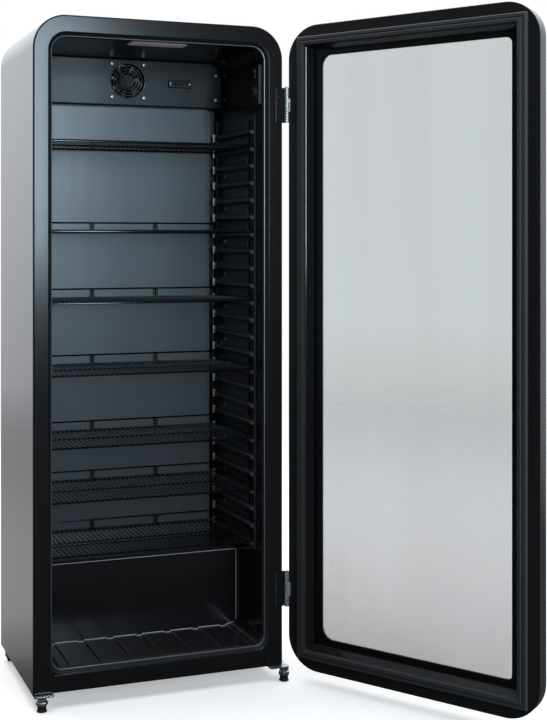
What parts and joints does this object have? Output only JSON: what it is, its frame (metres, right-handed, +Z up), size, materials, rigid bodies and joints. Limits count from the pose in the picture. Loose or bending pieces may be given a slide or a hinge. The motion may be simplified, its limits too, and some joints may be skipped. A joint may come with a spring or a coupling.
{
  "type": "upright glass-door refrigerated cabinet",
  "caption": "Tall rounded refrigerated cabinet with a hinged glazed door, sliding wire shelves, ceiling lamp and a rear fan.",
  "frame": {"origin": "on the floor, at the centre of the front left foot pad's underside", "axes": "+Z up, +Y from the door opening towards the back, +X across towards the hinge side; the door stands open 124 degrees at rest"},
  "size_m": [1.0062, 0.8724, 1.53],
  "materials": {
    "outer_paint": "gloss black enamel",
    "frame_paint": "satin black",
    "liner_plastic": "satin moulded black",
    "panel_sheet": "satin blue-black sheet",
    "foam": "foamed polyurethane",
    "galvanised": "galvanised sheet",
    "aluminium": "mill finish",
    "black_plastic": "moulded",
    "black_wire": "coated wire",
    "lamp_diffuser": "translucent",
    "compressor_paint": "gloss black",
    "copper": "bare copper",
    "black_rubber": "matte",
    "zinc": "zinc plated",
    "chrome": "polished",
    "gasket_rubber": "satin",
    "glass": "clear"
  },
  "bodies": {
    "cabinet": {"outer_wrap": "outer_paint", "front_frame": "frame_paint", "kick_strip": "frame_paint", "inner_liner": "liner_plastic", "ladder_left": "liner_plastic", "ladder_right": "liner_plastic", "back_duct_panel": "panel_sheet", "fan_cover": "panel_sheet", "insulation_foam": "foam", "rear_panel": "galvanised", "base_plate": "galvanised", "compressor_mount": "galvanised", "roller_bracket_left": "galvanised", "roller_bracket_right": "galvanised", "evaporator_plate": "aluminium", "fan_housing": "black_plastic", "sensor_cover": "black_plastic", "lamp_base": "black_plastic", "control_box": "black_plastic", "relay_cover": "black_plastic", "drip_tray": "black_plastic", "fan_guard": "black_wire", "lamp_lens": "lamp_diffuser", "compressor": "compressor_paint", "condenser_coil": "compressor_paint", "filter_drier": "copper", "discharge_pipe": "copper", "power_cord": "black_rubber", "foot_bracket_left": "zinc", "foot_bracket_right": "zinc", "hinge_leaf_upper": "zinc", "hinge_leaf_lower": "zinc", "hinge_pin_upper": "chrome", "hinge_pin_lower": "chrome"},
    "door": {"door_skin": "outer_paint", "door_core": "foam", "door_inner_frame": "frame_paint", "door_gasket": "gasket_rubber", "inner_pane": "glass", "outer_pane": "glass", "glass_spacer": "aluminium", "door_handle": "chrome", "door_leaf_upper": "zinc", "door_leaf_lower": "zinc"},
    "fan_rotor": {"fan_rotor": "black_plastic"},
    "thermostat_knob": {"thermostat_knob": "black_plastic"},
    "light_switch": {"light_switch": "black_plastic"},
    "foot_left": {"foot_stud_left": "zinc", "foot_pad_left": "black_rubber"},
    "foot_right": {"foot_stud_right": "zinc", "foot_pad_right": "black_rubber"},
    "rear_roller_left": {"rear_roller_left": "black_rubber"},
    "rear_roller_right": {"rear_roller_right": "black_rubber"},
    "shelf_1": {"shelf_1": "black_wire"},
    "shelf_2": {"shelf_2": "black_wire"},
    "shelf_3": {"shelf_3": "black_wire"},
    "shelf_4": {"shelf_4": "black_wire"},
    "shelf_5": {"shelf_5": "black_wire"},
    "shelf_6": {"shelf_6": "black_wire"},
    "shelf_7": {"shelf_7": "black_wire"}
  },
  "joints": [
    {"name": "door_hinge", "type": "hinge", "parent": "cabinet", "child": "door", "pos_m": [0.5825, -0.0085, 0.781], "axis": [0, 0, 1], "range_deg": [-124, 21]},
    {"name": "shelf_1_slide", "type": "slide", "parent": "cabinet", "child": "shelf_1", "axis": [0, -1, 0], "range_m": [0, 0.22]},
    {"name": "shelf_2_slide", "type": "slide", "parent": "cabinet", "child": "shelf_2", "axis": [0, -1, 0], "range_m": [0, 0.22]},
    {"name": "shelf_3_slide", "type": "slide", "parent": "cabinet", "child": "shelf_3", "axis": [0, -1, 0], "range_m": [0, 0.22]},
    {"name": "shelf_4_slide", "type": "slide", "parent": "cabinet", "child": "shelf_4", "axis": [0, -1, 0], "range_m": [0, 0.22]},
    {"name": "shelf_5_slide", "type": "slide", "parent": "cabinet", "child": "shelf_5", "axis": [0, -1, 0], "range_m": [0, 0.22]},
    {"name": "shelf_6_slide", "type": "slide", "parent": "cabinet", "child": "shelf_6", "axis": [0, -1, 0], "range_m": [0, 0.22]},
    {"name": "shelf_7_slide", "type": "slide", "parent": "cabinet", "child": "shelf_7", "axis": [0, -1, 0], "range_m": [0, 0.22]},
    {"name": "fan_spin", "type": "hinge", "parent": "cabinet", "child": "fan_rotor", "pos_m": [0.283, 0.2955, 1.428], "axis": [0, 1, 0], "continuous": true},
    {"name": "thermostat_turn", "type": "hinge", "parent": "cabinet", "child": "thermostat_knob", "pos_m": [0.5182, 0.037, 1.381], "axis": [-1, 0, 0], "range_deg": [0, 270]},
    {"name": "light_switch_rock", "type": "hinge", "parent": "cabinet", "child": "light_switch", "pos_m": [0.5222, 0.037, 1.424], "axis": [0, 1, 0], "range_deg": [0, 8]},
    {"name": "foot_left_turn", "type": "hinge", "parent": "cabinet", "child": "foot_left", "pos_m": [0, 0, 0.03], "axis": [0, 0, 1], "continuous": true},
    {"name": "foot_right_turn", "type": "hinge", "parent": "cabinet", "child": "foot_right", "pos_m": [0.5785, -0.002, 0.03], "axis": [0, 0, 1], "continuous": true},
    {"name": "rear_roller_left_spin", "type": "hinge", "parent": "cabinet", "child": "rear_roller_left", "pos_m": [0, 0.3415, 0.016], "axis": [1, 0, 0], "continuous": true},
    {"name": "rear_roller_right_spin", "type": "hinge", "parent": "cabinet", "child": "rear_roller_right", "pos_m": [0.556, 0.3415, 0.016], "axis": [1, 0, 0], "continuous": true}
  ]
}
